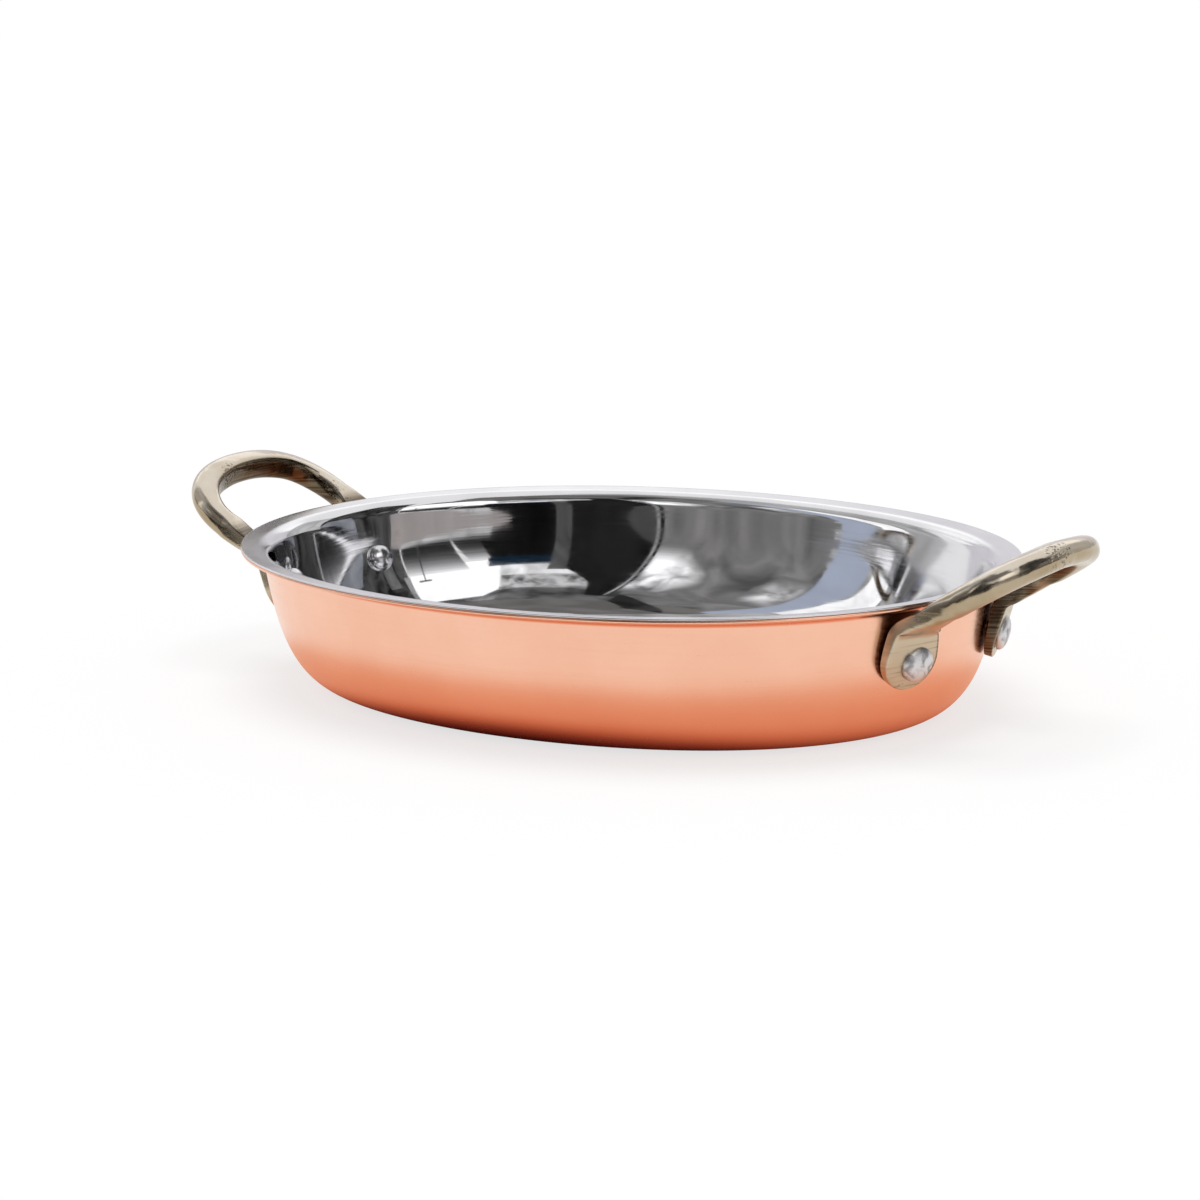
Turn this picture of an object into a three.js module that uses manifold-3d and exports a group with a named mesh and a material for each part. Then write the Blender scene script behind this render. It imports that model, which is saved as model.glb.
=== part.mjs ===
// An oval serving pan in two layers: a copper shell outside and a polished steel liner inside, with two cast
// brass loop handles, each held to one end of the pan by rivets through its two flattened ears.
// Millimetres, +Z up. The origin is the middle of the flat base, +X runs lengthways through the right handle
// and -Y is the front.

import * as THREE from 'three';
import { mergeVertices } from 'three/addons/utils/BufferGeometryUtils.js';
import Module from 'manifold-3d';

const wasm = await Module();
wasm.setup();

const { degToRad, lerp, smoothstep } = THREE.MathUtils;

// Body, measured over the lip
const BODY_LENGTH = 185;
const BODY_WIDTH = 135;
const BODY_HEIGHT = 32.5;
// Share by which the diagonals of the oval stand outside a true ellipse
const OVAL_FULLNESS = 0.012;

// Layers of the body
const COPPER_THICKNESS = 0.8;
const STEEL_THICKNESS = 0.6;
const LAYER_GAP = 0.3;

// Wall of the shell: how far lip and base reach in from the edge, and how tightly the curve between them bends
const LIP_WIDTH = 4.8;
const LIP_SLOPE = degToRad(6);
const LIP_BEND = 1.2;
const WALL_LEAN = degToRad(10);
const WALL_PULL = 10.3;
const BASE_INSET = 23.1;
const BASE_PULL = 14.5;

// Rivets: their place on the wall, seen round the oval from its end and up from the base, and their sizes
const RIVET_ANGLE = degToRad(15.2);
const RIVET_HEIGHT = 19.4;
const RIVET_CLEARANCE = 0.3;
const HEAD_CLEARANCE = 0.3;
const SHANK_DIAMETER = 4;
const OUTER_HEAD_DIAMETER = 7.6;
const OUTER_HEAD_HEIGHT = 1.9;
const INNER_HEAD_DIAMETER = 6.4;
const INNER_HEAD_HEIGHT = 2.2;

// Handles: reach and rise past the lip, then the ear, the knee under the lip and the loop
const HANDLE_REACH = 20;
const HANDLE_RISE = 12.5;
const ROD_DIAMETER = 5.8;
const EAR_WIDTH = 13;
const EAR_DROP = 5.6;
const EAR_SHIFT = 1.8;
const EAR_SEAT = 0.3;
const EAR_TIP_THICKNESS = 1.8;
const EAR_ROOT_THICKNESS = 3.2;
const EAR_SQUARENESS = 8;
const EAR_TIP_FLAT = 0.2;
const KNEE_DROP = 5.6;
const KNEE_PULL = 2.2;
const LIP_CLEARANCE = 0.6;
const SWELL_LENGTH = 8;
const LEG_PULL = 18;
const BAR_PULL = 15;

// Facets
const OVAL_STEPS = 60;
const WALL_STEPS = 8;
const BEND_STEPS = 2;
const BAR_STEPS = 64;
const BAR_SIDES = 12;
const RIVET_SIDES = 16;
const DOME_STEPS = 4;

// Finishes
const COPPER = { color: 0xe09a78, roughness: 0.3, metalness: 1 };
const STEEL = { color: 0xc8c9cc, roughness: 0.08, metalness: 1 };
const BRASS = { color: 0xb8a585, roughness: 0.35, metalness: 1 };
const RIVET_METAL = { color: 0xb4b2b0, roughness: 0.45, metalness: 1 };

const HALF_WIDTH = BODY_WIDTH / 2;
const STRETCH = (BODY_LENGTH - BODY_WIDTH) / 2;
const BASE_RADIUS = HALF_WIDTH - BASE_INSET;
const BODY_THICKNESS = COPPER_THICKNESS + LAYER_GAP + STEEL_THICKNESS;
const LIP_UNDERSIDE = BODY_HEIGHT - BODY_THICKNESS * Math.cos(LIP_SLOPE);
const UP = new THREE.Vector3(0, 0, 1);
const DOWN = new THREE.Vector3(0, 0, -1);

// Closed triangle meshes go to solids for cutting and joining, and come back as geometry
function toSolid(geometry) {
  const bare = geometry.clone();
  bare.deleteAttribute('normal');
  bare.deleteAttribute('uv');
  const merged = mergeVertices(bare);
  const vertProperties = new Float32Array(merged.attributes.position.array);
  const triVerts = new Uint32Array(merged.index.array);
  return new wasm.Manifold(new wasm.Mesh({ numProp: 3, vertProperties, triVerts }));
}

function toGeometry(solid) {
  const mesh = solid.getMesh();
  const geometry = new THREE.BufferGeometry();
  geometry.setAttribute('position', new THREE.BufferAttribute(mesh.vertProperties, 3));
  geometry.setIndex(new THREE.BufferAttribute(mesh.triVerts, 1));
  geometry.computeVertexNormals();
  return geometry;
}

// Outer face of the copper as a line in the plane of one wall: out from the axis, then up
const lipCorner = new THREE.Vector2(HALF_WIDTH - LIP_WIDTH, LIP_UNDERSIDE - LIP_WIDTH * Math.tan(LIP_SLOPE));
const lipOut = new THREE.Vector2(Math.cos(LIP_SLOPE), Math.sin(LIP_SLOPE));
const wallUp = new THREE.Vector2(Math.sin(WALL_LEAN), Math.cos(WALL_LEAN));
const wallTop = lipCorner.clone().addScaledVector(wallUp, -LIP_BEND);
const wallCurve = new THREE.CubicBezierCurve(
  new THREE.Vector2(BASE_RADIUS, 0),
  new THREE.Vector2(BASE_RADIUS + BASE_PULL, 0),
  wallTop.clone().addScaledVector(wallUp, -WALL_PULL),
  wallTop,
);
const lipBend = new THREE.QuadraticBezierCurve(
  wallTop,
  lipCorner,
  lipCorner.clone().addScaledVector(lipOut, LIP_BEND),
);
const outerFace = [
  new THREE.Vector2(0, 0),
  ...wallCurve.getPoints(WALL_STEPS),
  ...lipBend.getPoints(BEND_STEPS).slice(1),
  new THREE.Vector2(HALF_WIDTH, LIP_UNDERSIDE),
];

// The same line moved square to itself, towards the inside of the bowl
function insetLine(line, distance) {
  return line.map((point, i) => {
    const before = line[Math.max(i - 1, 0)];
    const after = line[Math.min(i + 1, line.length - 1)];
    const along = after.clone().sub(before).normalize();
    return new THREE.Vector2(point.x - along.y * distance, point.y + along.x * distance);
  });
}

function swell(angle) {
  return 1 + OVAL_FULLNESS * Math.sin(2 * angle) ** 2;
}

// One layer is spun as a round bowl, then drawn out along X by a set length, so its wall keeps its thickness
function bowlLayer(outerOffset, thickness) {
  const outside = insetLine(outerFace, outerOffset);
  const inside = insetLine(outerFace, outerOffset + thickness);
  const geometry = new THREE.LatheGeometry([...outside, ...inside.reverse()], OVAL_STEPS);
  geometry.rotateX(Math.PI / 2);
  const position = geometry.attributes.position;
  for (let i = 0; i < position.count; i += 1) {
    const x = position.getX(i);
    const y = position.getY(i);
    const radius = Math.max(Math.hypot(x, y), BASE_RADIUS);
    const fullness = swell(Math.atan2(y, x));
    position.setXY(i, x * fullness * (1 + STRETCH / radius), y * fullness);
  }
  return toSolid(geometry);
}

// A point of the oval wall, from its angle round the oval and its distance from the axis on the round bowl
function ovalPoint(angle, radius, height) {
  const fullness = swell(angle);
  const x = (radius + STRETCH) * Math.cos(angle) * fullness;
  const y = radius * Math.sin(angle) * fullness;
  return new THREE.Vector3(x, y, height);
}

// Level direction square to the oval at an angle
function outwardAt(angle, radius) {
  const step = degToRad(0.1);
  const along = ovalPoint(angle + step, radius, 0).sub(ovalPoint(angle - step, radius, 0)).normalize();
  return new THREE.Vector3(along.y, -along.x, 0);
}

// Radius and lean of the outer face at a height, found by halving the curve
function wallAt(height) {
  const halvings = 40;
  let low = 0;
  let high = 1;
  for (let i = 0; i < halvings; i += 1) {
    const middle = (low + high) / 2;
    if (wallCurve.getPoint(middle).y < height) {
      low = middle;
    } else {
      high = middle;
    }
  }
  const point = wallCurve.getPoint(low);
  const tangent = wallCurve.getTangent(low);
  return { point, lean: Math.atan2(tangent.x, tangent.y) };
}

// Where a rivet of the right handle crosses the outer face: X along the wall, Y up it and Z square out of it
const rivetWall = wallAt(RIVET_HEIGHT);

function rivetFrame(side) {
  const radius = rivetWall.point.x;
  const level = outwardAt(side * RIVET_ANGLE, radius);
  const out = level.clone().multiplyScalar(Math.cos(rivetWall.lean));
  out.addScaledVector(UP, -Math.sin(rivetWall.lean));
  const up = level.clone().multiplyScalar(Math.sin(rivetWall.lean));
  up.addScaledVector(UP, Math.cos(rivetWall.lean));
  const frame = new THREE.Matrix4().makeBasis(up.clone().cross(out), up, out);
  return frame.setPosition(ovalPoint(side * RIVET_ANGLE, radius, RIVET_HEIGHT));
}

const FRONT = -1;
const BACK = 1;
const frames = { [FRONT]: rivetFrame(FRONT), [BACK]: rivetFrame(BACK) };
const halfTurn = new THREE.Matrix4().makeRotationZ(Math.PI);

// Distances along the ear, from its tip up to the knee
const earRise = (LIP_UNDERSIDE - KNEE_DROP - RIVET_HEIGHT) / Math.cos(rivetWall.lean);
const earLength = EAR_DROP + earRise;
const earTaper = Math.atan((EAR_ROOT_THICKNESS - EAR_TIP_THICKNESS) / earLength);

function earThickness(distance) {
  return lerp(EAR_TIP_THICKNESS, EAR_ROOT_THICKNESS, Math.min(distance / earLength, 1));
}

// A straight round drill along the Z axis of a rivet's frame, long enough to pass through everything
function drill(frame) {
  const diameter = SHANK_DIAMETER + 2 * RIVET_CLEARANCE;
  const reach = BODY_THICKNESS + EAR_SEAT + ROD_DIAMETER;
  const geometry = new THREE.CylinderGeometry(diameter / 2, diameter / 2, 2 * reach, RIVET_SIDES);
  geometry.rotateX(Math.PI / 2);
  geometry.applyMatrix4(frame);
  return toSolid(geometry);
}

function drilled(solid, holeFrames) {
  return holeFrames.reduce((rest, frame) => rest.subtract(drill(frame)), solid);
}

// Half of a handle's centre line: up the ear, round the knee, past the lip's edge and out to the tip
const tip = new THREE.Vector3(
  BODY_LENGTH / 2 + HANDLE_REACH - ROD_DIAMETER / 2,
  0,
  BODY_HEIGHT + HANDLE_RISE - ROD_DIAMETER / 2,
);

function halfHandle(side) {
  const across = side * EAR_SHIFT;
  const earTip = new THREE.Vector3(across, -EAR_DROP, EAR_SEAT + EAR_TIP_THICKNESS / 2);
  const earTop = new THREE.Vector3(across, earRise, EAR_SEAT + EAR_ROOT_THICKNESS / 2);
  const kneeBend = earTop.clone().add(new THREE.Vector3(0, KNEE_PULL, 0));
  [earTip, earTop, kneeBend].forEach((point) => point.applyMatrix4(frames[side]));
  const level = outwardAt(side * RIVET_ANGLE, HALF_WIDTH);
  const along = UP.clone().cross(level);
  const diagonal = level.clone().sub(UP).normalize();
  const passing = ovalPoint(side * RIVET_ANGLE, HALF_WIDTH, LIP_UNDERSIDE);
  passing.addScaledVector(along, across);
  passing.addScaledVector(diagonal, EAR_ROOT_THICKNESS / 2 + LIP_CLEARANCE);
  const legWay = passing.clone().sub(kneeBend).normalize();
  const legEnd = passing.clone().addScaledVector(legWay, LEG_PULL);
  const barEnd = tip.clone().add(new THREE.Vector3(0, side * BAR_PULL, 0));
  return { earTip, earTop, kneeBend, passing, legEnd, barEnd };
}

function handlePath() {
  const front = halfHandle(FRONT);
  const back = halfHandle(BACK);
  const path = new THREE.CurvePath();
  path.add(new THREE.LineCurve3(front.earTip, front.earTop));
  path.add(new THREE.QuadraticBezierCurve3(front.earTop, front.kneeBend, front.passing));
  path.add(new THREE.CubicBezierCurve3(front.passing, front.legEnd, front.barEnd, tip));
  path.add(new THREE.CubicBezierCurve3(tip, back.barEnd, back.legEnd, back.passing));
  path.add(new THREE.QuadraticBezierCurve3(back.passing, back.kneeBend, back.earTop));
  path.add(new THREE.LineCurve3(back.earTop, back.earTip));
  return path;
}

// Half width, half thickness and squareness of the bar at a distance from the tip of its nearer ear.
// The ear is a flat tongue with a round end, the rod is round, and the knee blends them.
function barSection(distance, kneeLength) {
  const earRadius = EAR_WIDTH / 2;
  const passed = earLength + kneeLength;
  const narrowed = smoothstep(distance, EAR_DROP, passed + SWELL_LENGTH);
  const rounded = smoothstep(distance, passed, passed + SWELL_LENGTH);
  const fromTip = Math.min(distance + EAR_TIP_FLAT, earRadius);
  const tongue = Math.sqrt(earRadius ** 2 - (earRadius - fromTip) ** 2);
  return {
    halfWidth: lerp(tongue, ROD_DIAMETER / 2, narrowed),
    halfThickness: lerp(earThickness(distance), ROD_DIAMETER, rounded) / 2,
    power: 2 / lerp(EAR_SQUARENESS, 2, rounded),
  };
}

// A straight round bar is extruded, then each slice of it is set square on the path with its own section
function handleSolid() {
  const path = handlePath();
  const length = path.getLength();
  const kneeLength = path.curves[1].getLength();
  const round = new THREE.Shape().absarc(0, 0, 1, 0, 2 * Math.PI);
  const options = { depth: 1, steps: BAR_STEPS, curveSegments: BAR_SIDES / 2, bevelEnabled: false };
  const bar = new THREE.ExtrudeGeometry(round, options);
  const position = bar.attributes.position;
  for (let i = 0; i < position.count; i += 1) {
    const along = position.getZ(i);
    const toBack = 1 - along;
    const distance = Math.min(along, toBack) * length;
    const section = barSection(distance, kneeLength);
    const nearerEar = frames[along < toBack ? FRONT : BACK];
    const earOut = new THREE.Vector3().setFromMatrixColumn(nearerEar, 2);
    const tangent = path.getTangent(along);
    const facing = earOut.lerp(DOWN, smoothstep(distance, earLength, earLength + kneeLength + SWELL_LENGTH));
    facing.addScaledVector(tangent, -facing.dot(tangent)).normalize();
    const sideways = facing.clone().cross(tangent);
    const x = position.getX(i);
    const y = position.getY(i);
    const across = Math.sign(x) * Math.abs(x) ** section.power * section.halfWidth;
    const through = Math.sign(y) * Math.abs(y) ** section.power * section.halfThickness;
    const point = path.getPoint(along).addScaledVector(sideways, across).addScaledVector(facing, through);
    position.setXYZ(i, point.x, point.y, point.z);
  }
  return drilled(toSolid(bar), [frames[FRONT], frames[BACK]]);
}

// A rivet head: a flat disc under a dome, standing on its flat
function domedHead(diameter, height) {
  const dome = new THREE.EllipseCurve(0, 0, diameter / 2, height, 0, Math.PI / 2);
  const profile = [new THREE.Vector2(0, 0), ...dome.getPoints(DOME_STEPS)];
  profile[profile.length - 1].x = 0;
  return new THREE.LatheGeometry(profile, RIVET_SIDES).rotateX(Math.PI / 2);
}

// How far the dished wall rises under the rim of a disc that lies on it
function dishUnder(radius) {
  const { point, lean } = rivetWall;
  const inward = new THREE.Vector2(-Math.cos(lean), Math.sin(lean));
  const rises = [-radius, radius].map((step) => wallAt(RIVET_HEIGHT + step).point.sub(point).dot(inward));
  return Math.max(...rises);
}

// One rivet in its own frame: dome inside the pan, shank through both layers and the ear, hammered head outside
function rivetSolid() {
  const earFace = EAR_SEAT + earThickness(EAR_DROP) + HEAD_CLEARANCE;
  const linerFace = BODY_THICKNESS + dishUnder(INNER_HEAD_DIAMETER / 2) + HEAD_CLEARANCE;
  const outer = domedHead(OUTER_HEAD_DIAMETER, OUTER_HEAD_HEIGHT);
  outer.rotateX(earTaper);
  outer.translate(0, 0, earFace);
  const inner = domedHead(INNER_HEAD_DIAMETER, INNER_HEAD_HEIGHT);
  inner.rotateX(Math.PI);
  inner.translate(0, 0, -linerFace);
  const outerEnd = earFace + OUTER_HEAD_HEIGHT / 2;
  const innerEnd = -linerFace - INNER_HEAD_HEIGHT / 2;
  const shankRadius = SHANK_DIAMETER / 2;
  const shank = new THREE.CylinderGeometry(shankRadius, shankRadius, outerEnd - innerEnd, RIVET_SIDES);
  shank.rotateX(Math.PI / 2);
  shank.translate(0, 0, (outerEnd + innerEnd) / 2);
  return toSolid(shank).add(toSolid(outer)).add(toSolid(inner));
}

function piece(name, solid, finish) {
  const mesh = new THREE.Mesh(toGeometry(solid), new THREE.MeshStandardMaterial(finish));
  mesh.name = name;
  return mesh;
}

const pan = new THREE.Group();

// The two layers of the body, drilled for all four rivets
const rivetPlaces = {
  rivet_right_front: frames[FRONT],
  rivet_right_back: frames[BACK],
  rivet_left_back: halfTurn.clone().multiply(frames[FRONT]),
  rivet_left_front: halfTurn.clone().multiply(frames[BACK]),
};
const holes = Object.values(rivetPlaces);
pan.add(piece('copper_shell', drilled(bowlLayer(0, COPPER_THICKNESS), holes), COPPER));
pan.add(piece('steel_liner', drilled(bowlLayer(COPPER_THICKNESS + LAYER_GAP, STEEL_THICKNESS), holes), STEEL));

// The handles are one casting, used at both ends
const casting = handleSolid();
pan.add(piece('handle_right', casting, BRASS));
const leftHandle = piece('handle_left', casting, BRASS);
leftHandle.rotation.z = Math.PI;
pan.add(leftHandle);

// One rivet through each ear
const rivet = rivetSolid();
Object.entries(rivetPlaces).forEach(([name, frame]) => {
  const mesh = piece(name, rivet, RIVET_METAL);
  mesh.applyMatrix4(frame);
  pan.add(mesh);
});

export default pan;
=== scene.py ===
"""An oval serving pan in metres: a copper shell, a polished steel liner and riveted brass loop handles. The
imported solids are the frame. Each of them is replaced here by a finer surface in the same place."""

import bpy
import numpy as np
from mathutils import Matrix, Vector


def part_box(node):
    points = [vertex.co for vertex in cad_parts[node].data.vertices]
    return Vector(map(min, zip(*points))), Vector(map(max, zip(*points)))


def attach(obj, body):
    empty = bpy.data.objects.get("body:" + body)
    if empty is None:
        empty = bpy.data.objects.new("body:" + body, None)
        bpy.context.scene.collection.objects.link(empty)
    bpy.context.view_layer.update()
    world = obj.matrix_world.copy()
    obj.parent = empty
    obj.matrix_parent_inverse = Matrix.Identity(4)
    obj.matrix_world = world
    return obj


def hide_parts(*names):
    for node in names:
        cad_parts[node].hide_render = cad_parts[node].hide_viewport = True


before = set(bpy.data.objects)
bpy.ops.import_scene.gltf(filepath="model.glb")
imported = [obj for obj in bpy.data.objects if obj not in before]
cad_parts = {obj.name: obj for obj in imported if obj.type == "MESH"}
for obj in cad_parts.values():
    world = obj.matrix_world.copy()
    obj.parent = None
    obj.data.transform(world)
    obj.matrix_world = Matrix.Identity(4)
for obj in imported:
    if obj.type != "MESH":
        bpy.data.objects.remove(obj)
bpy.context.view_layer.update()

# Copper shell
# The outer bowl: one copper sheet pressed to an oval with a flat base and a narrow flared lip, its wall
# polished to a satin shine. The liner is bonded inside it, and the handles are riveted through it.
shell_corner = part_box("copper_shell")[1]
liner_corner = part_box("steel_liner")[1]
half_length = shell_corner.x
half_width = shell_corner.y
oval_stretch = half_length - half_width
oval_fullness = 0.012
copper_thickness = 0.0008
body_thickness = 0.0017
lip_width = 0.0048
lip_slope = np.radians(6)
lip_bend = 0.0012
lip_underside = liner_corner.z - body_thickness * np.cos(lip_slope)
wall_lean = np.radians(10)
wall_pull = 0.0103
base_inset = 0.0231
base_radius = half_width - base_inset
base_pull = 0.0145
line_steps = {"base": 14, "wall": 56, "bend": 10, "lip": 8}
lip_shares = np.arange(1, line_steps["lip"] + 1) / line_steps["lip"]
copper_edge = {"under": 0.0006, "over": 0.0013}
edge_steps = 7
oval_steps = 320


def along_bezier(corners, shares):
    """Points and unit directions on a Bezier curve: the corners are blended in pairs, by the share of the
    way along, until two points are left, which hold the point between them and its direction."""
    share = np.asarray(shares)[:, None]
    left = np.repeat(np.asarray(corners, float)[:, None], len(shares), axis=1)
    while len(left) > 2:
        left = left[:-1] * (1 - share) + left[1:] * share
    way = left[1] - left[0]
    return left[0] + share * way, way / np.linalg.norm(way, axis=1, keepdims=True)


lip_out = np.array([np.cos(lip_slope), np.sin(lip_slope)])
wall_up = np.array([np.sin(wall_lean), np.cos(wall_lean)])
lip_edge = np.array([half_width, lip_underside])
lip_corner = lip_edge - np.array([lip_width, lip_width * np.tan(lip_slope)])
wall_top = lip_corner - lip_bend * wall_up
base_edge = np.array([base_radius, 0])
wall_corners = [base_edge, base_edge + [base_pull, 0], wall_top - wall_pull * wall_up, wall_top]
bend_corners = [wall_top, lip_corner, lip_corner + lip_bend * lip_out]


def bowl_line(depth, edge_inset):
    """The bowl's face in the plane of one wall, as distance from the axis and height: flat base, wall, bend
    and lip end to end, moved square to themselves by a depth into the bowl. The lip ends at an inset from
    its edge."""
    stretches = {
        "base": [[0, 0], base_edge],
        "wall": wall_corners,
        "bend": bend_corners,
        "lip": [bend_corners[-1], lip_edge - edge_inset * lip_out],
    }
    points, ways = [], []
    for name, corners in stretches.items():
        steps = line_steps[name]
        point, way = along_bezier(corners, np.arange(1, steps + 1) / steps)
        points.append(point)
        ways.append(way)
    way = np.concatenate(ways)
    return np.concatenate(points) + depth * np.stack([-way[:, 1], way[:, 0]], axis=1)


def round_the_oval(line):
    """Carries a line round the oval: a turn of the line about Z, drawn out along X by a set length outside
    the flat base, and swelled on the diagonals by a small share."""
    turn = np.linspace(0, 2 * np.pi, oval_steps, endpoint=False)
    full = 1 + oval_fullness * np.sin(2 * turn) ** 2
    out, height = line[:, :1], line[:, 1:]
    drawn = out * (1 + oval_stretch / np.maximum(out, base_radius))
    grid = np.broadcast_arrays(drawn * np.cos(turn) * full, out * np.sin(turn) * full, height)
    return np.stack(grid, axis=-1)


def bowl_rings(under_depth, over_depth, thinned):
    """One layer of the bowl as a closed stack of rings: out along its lower face, round the half-round edge
    of the sheet and back along its upper face. Over the lip each face goes from its depth to a thinned
    one."""
    depth = {"under": under_depth, "over": over_depth}
    at_lip = np.concatenate([np.zeros(sum(line_steps.values()) - line_steps["lip"]), lip_shares])
    edge_radius = (thinned["over"] - thinned["under"]) / 2
    faces = {}
    for face, plain in depth.items():
        faces[face] = bowl_line(plain + (thinned[face] - plain) * at_lip[:, None], edge_radius)
    middle = (faces["under"][-1] + faces["over"][-1]) / 2
    turn = np.linspace(-np.pi / 2, np.pi / 2, edge_steps + 2)[1:-1, None]
    inward = np.array([-lip_out[1], lip_out[0]])
    edge = middle + edge_radius * (np.cos(turn) * lip_out + np.sin(turn) * inward)
    return round_the_oval(np.concatenate([faces["under"], edge, faces["over"][::-1]]))


def closed_mesh(name, rings):
    """A closed surface from a grid of points: each row is a ring, quads join a ring to the next one, and a
    fan of triangles closes each end at the ring's middle."""
    rows, count = rings.shape[:2]
    points = np.concatenate([rings.reshape(-1, 3), rings[[0, -1]].mean(axis=1)])
    here = np.arange(count)
    after = (here + 1) % count
    row = np.arange(rows - 1)[:, None] * count
    quads = np.stack([row + here, row + after, row + count + after, row + count + here], axis=-1)
    first, last = np.full(count, rows * count), np.full(count, rows * count + 1)
    last_row = (rows - 1) * count
    fans = np.stack([[first, after, here], [last, last_row + here, last_row + after]])
    faces = quads.reshape(-1, 4).tolist() + fans.transpose(0, 2, 1).reshape(-1, 3).tolist()
    mesh = bpy.data.meshes.new(name)
    mesh.from_pydata(points.tolist(), [], faces)
    mesh.shade_smooth()
    return mesh


def place(name, mesh, material, node):
    """Puts a finished mesh in the scene for a CAD node, riding on the pan's one body."""
    mesh.materials.append(material)
    piece = bpy.data.objects.new(name, mesh)
    bpy.context.scene.collection.objects.link(piece)
    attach(piece, "root")
    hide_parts(node)


def add_node(tree, kind, inputs=None, **settings):
    """A shader node with its settings, and with each input either linked to a socket or set to a value."""
    node = tree.nodes.new("ShaderNode" + kind)
    for name, value in settings.items():
        setattr(node, name, value)
    for name, value in (inputs or {}).items():
        if isinstance(value, bpy.types.NodeSocket):
            tree.links.new(value, node.inputs[name])
        else:
            node.inputs[name].default_value = value
    return node


def bare_metal(name):
    """A new metal material: its node tree and its shader, fully metallic."""
    material = bpy.data.materials.new(name)
    material.use_nodes = True
    tree = material.node_tree
    shader = tree.nodes["Principled BSDF"]
    shader.inputs["Metallic"].default_value = 1
    return material, tree, shader


def own_place(tree):
    """Where a point is in its piece's own coordinates, as the three values X, Y and Z."""
    where = add_node(tree, "TexCoord").outputs["Object"]
    return add_node(tree, "SeparateXYZ", {0: where}).outputs


def grain(tree, scale, stretch=(1, 1, 1), detail=3, distortion=0):
    """Cloudy noise fixed to the piece, from 0 to 1: its own coordinates times a stretch along each axis,
    with so many clouds to the metre."""
    where = add_node(tree, "TexCoord").outputs["Object"]
    stretched = add_node(tree, "Mapping", {"Vector": where, "Scale": stretch}).outputs[0]
    settings = {"Vector": stretched, "Scale": scale, "Detail": detail, "Distortion": distortion}
    return add_node(tree, "TexNoise", settings).outputs["Fac"]


def spread(tree, value, low, high, at_low=0, at_high=1):
    """A value carried from one range to another in proportion, and held at the ends."""
    settings = {"Value": value, "From Min": low, "From Max": high, "To Min": at_low, "To Max": at_high}
    return add_node(tree, "MapRange", settings).outputs["Result"]


def sums(tree, operation, first, second):
    """Two values put together: added, multiplied, the larger of them, or one to the power of the other."""
    return add_node(tree, "Math", {0: first, 1: second}, operation=operation).outputs[0]


def tint(tree, share, first, second):
    """A colour between two, by a share that varies over the piece."""
    colours = [(*c, 1) if isinstance(c, tuple) else c for c in (first, second)]
    return add_node(tree, "Mix", {0: share, 6: colours[0], 7: colours[1]}, data_type="RGBA").outputs[2]


def relief(tree, shader, *layers):
    """Bumps on the surface: each layer is a height from 0 to 1 and how many metres a height of 1 stands
    proud."""
    normal = None
    for height, depth in layers:
        inputs = {"Height": height, "Distance": depth, "Strength": 1}
        if normal:
            inputs["Normal"] = normal
        normal = add_node(tree, "Bump", inputs).outputs[0]
    tree.links.new(normal, shader.inputs["Normal"])


copper_bright = (0.925, 0.54, 0.395)
copper_deep = (0.90, 0.505, 0.36)
copper_tarnish = (0.62, 0.27, 0.17)
tarnish_heights = (0.0022, 0.0004)
tarnish_share = 0.45
tarnish_roughness = 0.15
scuff_roughness = 0.05
satin_roughness = (0.19, 0.27)
sheet_relief = 0.00008
line_relief = 0.000006
copper, tree, shader = bare_metal("satin_copper")
mottle = grain(tree, 55, detail=5)
lines = grain(tree, 30, stretch=(1, 1, 90), detail=4)
scuffs = spread(tree, grain(tree, 260, stretch=(1, 1, 0.35), detail=6, distortion=1.2), 0.62, 0.74)
low_down = spread(tree, own_place(tree)["Z"], *tarnish_heights)
underside = sums(tree, "MULTIPLY", low_down, spread(tree, mottle, 0.35, 0.6))
satin = tint(tree, spread(tree, mottle, 0.35, 0.65), copper_deep, copper_bright)
tarnished = tint(tree, sums(tree, "MULTIPLY", underside, tarnish_share), satin, copper_tarnish)
tree.links.new(tarnished, shader.inputs["Base Color"])
scuffed = sums(tree, "MULTIPLY", scuffs, scuff_roughness)
worn = sums(tree, "ADD", scuffed, sums(tree, "MULTIPLY", underside, tarnish_roughness))
rubbed = spread(tree, lines, 0.3, 0.7, *satin_roughness)
tree.links.new(sums(tree, "ADD", rubbed, worn), shader.inputs["Roughness"])
relief(tree, shader, (grain(tree, 40), sheet_relief), (lines, line_relief))
copper_rings = bowl_rings(0, copper_thickness, copper_edge)
place("copper_bowl", closed_mesh("copper_bowl", copper_rings), copper, "copper_shell")

# Steel liner
# The inner bowl: one stainless steel sheet pressed to the same oval, bonded into the copper, and polished
# to a mirror. Its own lip covers the copper one.
bond = 0.00002
liner_depth = copper_thickness + bond
steel_edge = {"under": copper_edge["over"] + bond, "over": body_thickness}
rivet_angle = np.radians(15.2)
rivet_height = 0.0194
dent_depth = 0.00018
dent_radius = 0.0055


def oval_point(turn, out, height):
    """A point of the bowl outside its flat base, from its turn round the oval, distance and height."""
    full = 1 + oval_fullness * np.sin(2 * turn) ** 2
    return np.array([(out + oval_stretch) * np.cos(turn) * full, out * np.sin(turn) * full, height])


shares = np.linspace(0, 1, 2000)
wall_points = along_bezier(wall_corners, shares)[0]
rivet_share = np.interp(rivet_height, wall_points[:, 1], shares)
rivet_point, rivet_way = (rows[0] for rows in along_bezier(wall_corners, [rivet_share]))


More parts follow.
